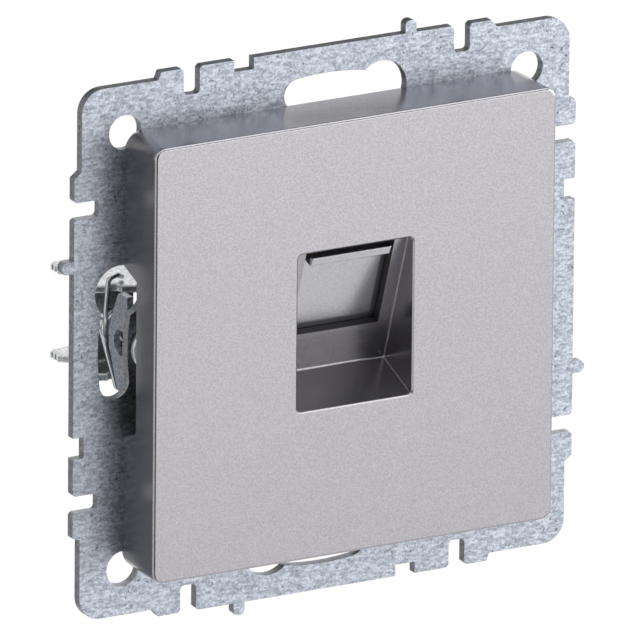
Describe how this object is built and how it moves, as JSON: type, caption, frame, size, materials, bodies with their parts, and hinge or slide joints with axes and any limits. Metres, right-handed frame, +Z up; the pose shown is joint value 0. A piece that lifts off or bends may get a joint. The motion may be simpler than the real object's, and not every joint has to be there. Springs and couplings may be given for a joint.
{
  "type": "ethernet wall socket",
  "caption": "Flush wall socket for a network plug: steel support plate with spreading claws, square cover with a slanted recess and a spring shutter in front of the jack.",
  "frame": {"origin": "centre of the support plate's back face, at the middle of its four corner holes", "axes": "+X to the right seen from the front, +Y into the wall, +Z up"},
  "size_m": [0.0742, 0.0309, 0.0742],
  "materials": {
    "plate_steel": "galvanised, faintly streaked",
    "cover_paint": "satin metallic paint on plastic",
    "shutter_plastic": "satin metallic paint on plastic",
    "dark_plastic": "fine matte",
    "jack_plastic": "fine matte",
    "pale_plastic": "fine matte",
    "cap_plastic": "fine matte",
    "board_green": "lacquered",
    "contact_metal": "plated, smooth",
    "claw_steel": "galvanised, stamped",
    "screw_steel": "zinc plated",
    "spring_steel": "bright wire"
  },
  "bodies": {
    "socket": {"support_plate": "plate_steel", "cover": "cover_paint", "shutter_guide": "dark_plastic", "shutter_spring": "spring_steel", "carrier": "dark_plastic", "jack_housing": "jack_plastic", "contact_comb": "pale_plastic", "circuit_board": "board_green", "terminal_block_left": "pale_plastic", "terminal_block_right": "pale_plastic", "wire_terminals": "contact_metal", "wire_cap_left": "cap_plastic", "wire_cap_right": "cap_plastic", "contact_1": "contact_metal", "contact_2": "contact_metal", "contact_3": "contact_metal", "contact_4": "contact_metal", "contact_5": "contact_metal", "contact_6": "contact_metal", "contact_7": "contact_metal", "contact_8": "contact_metal"},
    "shutter": {"shutter": "shutter_plastic"},
    "left_claw": {"claw_left": "claw_steel", "claw_spring_left": "spring_steel"},
    "left_screw": {"claw_screw_left": "screw_steel"},
    "right_claw": {"claw_right": "claw_steel", "claw_spring_right": "spring_steel"},
    "right_screw": {"claw_screw_right": "screw_steel"}
  },
  "joints": [
    {"name": "shutter_slide", "type": "slide", "parent": "socket", "child": "shutter", "axis": [0, 0.3256, -0.9455], "range_m": [0, 0.0105], "stiffness_N_per_m": 30, "springref_m": -0.006, "deforming": ["shutter_spring"]},
    {"name": "left_claw_swing", "type": "hinge", "parent": "socket", "child": "left_claw", "pos_m": [-0.021, 0.002, 0], "axis": [0, 0, 1], "range_deg": [0, 12]},
    {"name": "left_screw_turn", "type": "hinge", "parent": "left_claw", "child": "left_screw", "pos_m": [-0.0242, 0, 0], "axis": [0, 1, 0], "range_deg": [0, 900]},
    {"name": "right_claw_swing", "type": "hinge", "parent": "socket", "child": "right_claw", "pos_m": [0.021, 0.002, 0], "axis": [0, 0, -1], "range_deg": [0, 12]},
    {"name": "right_screw_turn", "type": "hinge", "parent": "right_claw", "child": "right_screw", "pos_m": [0.0242, 0, 0], "axis": [0, 1, 0], "range_deg": [0, 900]}
  ],
  "couplings": [
    {"joint": "left_screw_turn", "follows": "left_claw_swing", "ratio": 75},
    {"joint": "right_screw_turn", "follows": "right_claw_swing", "ratio": 75}
  ]
}
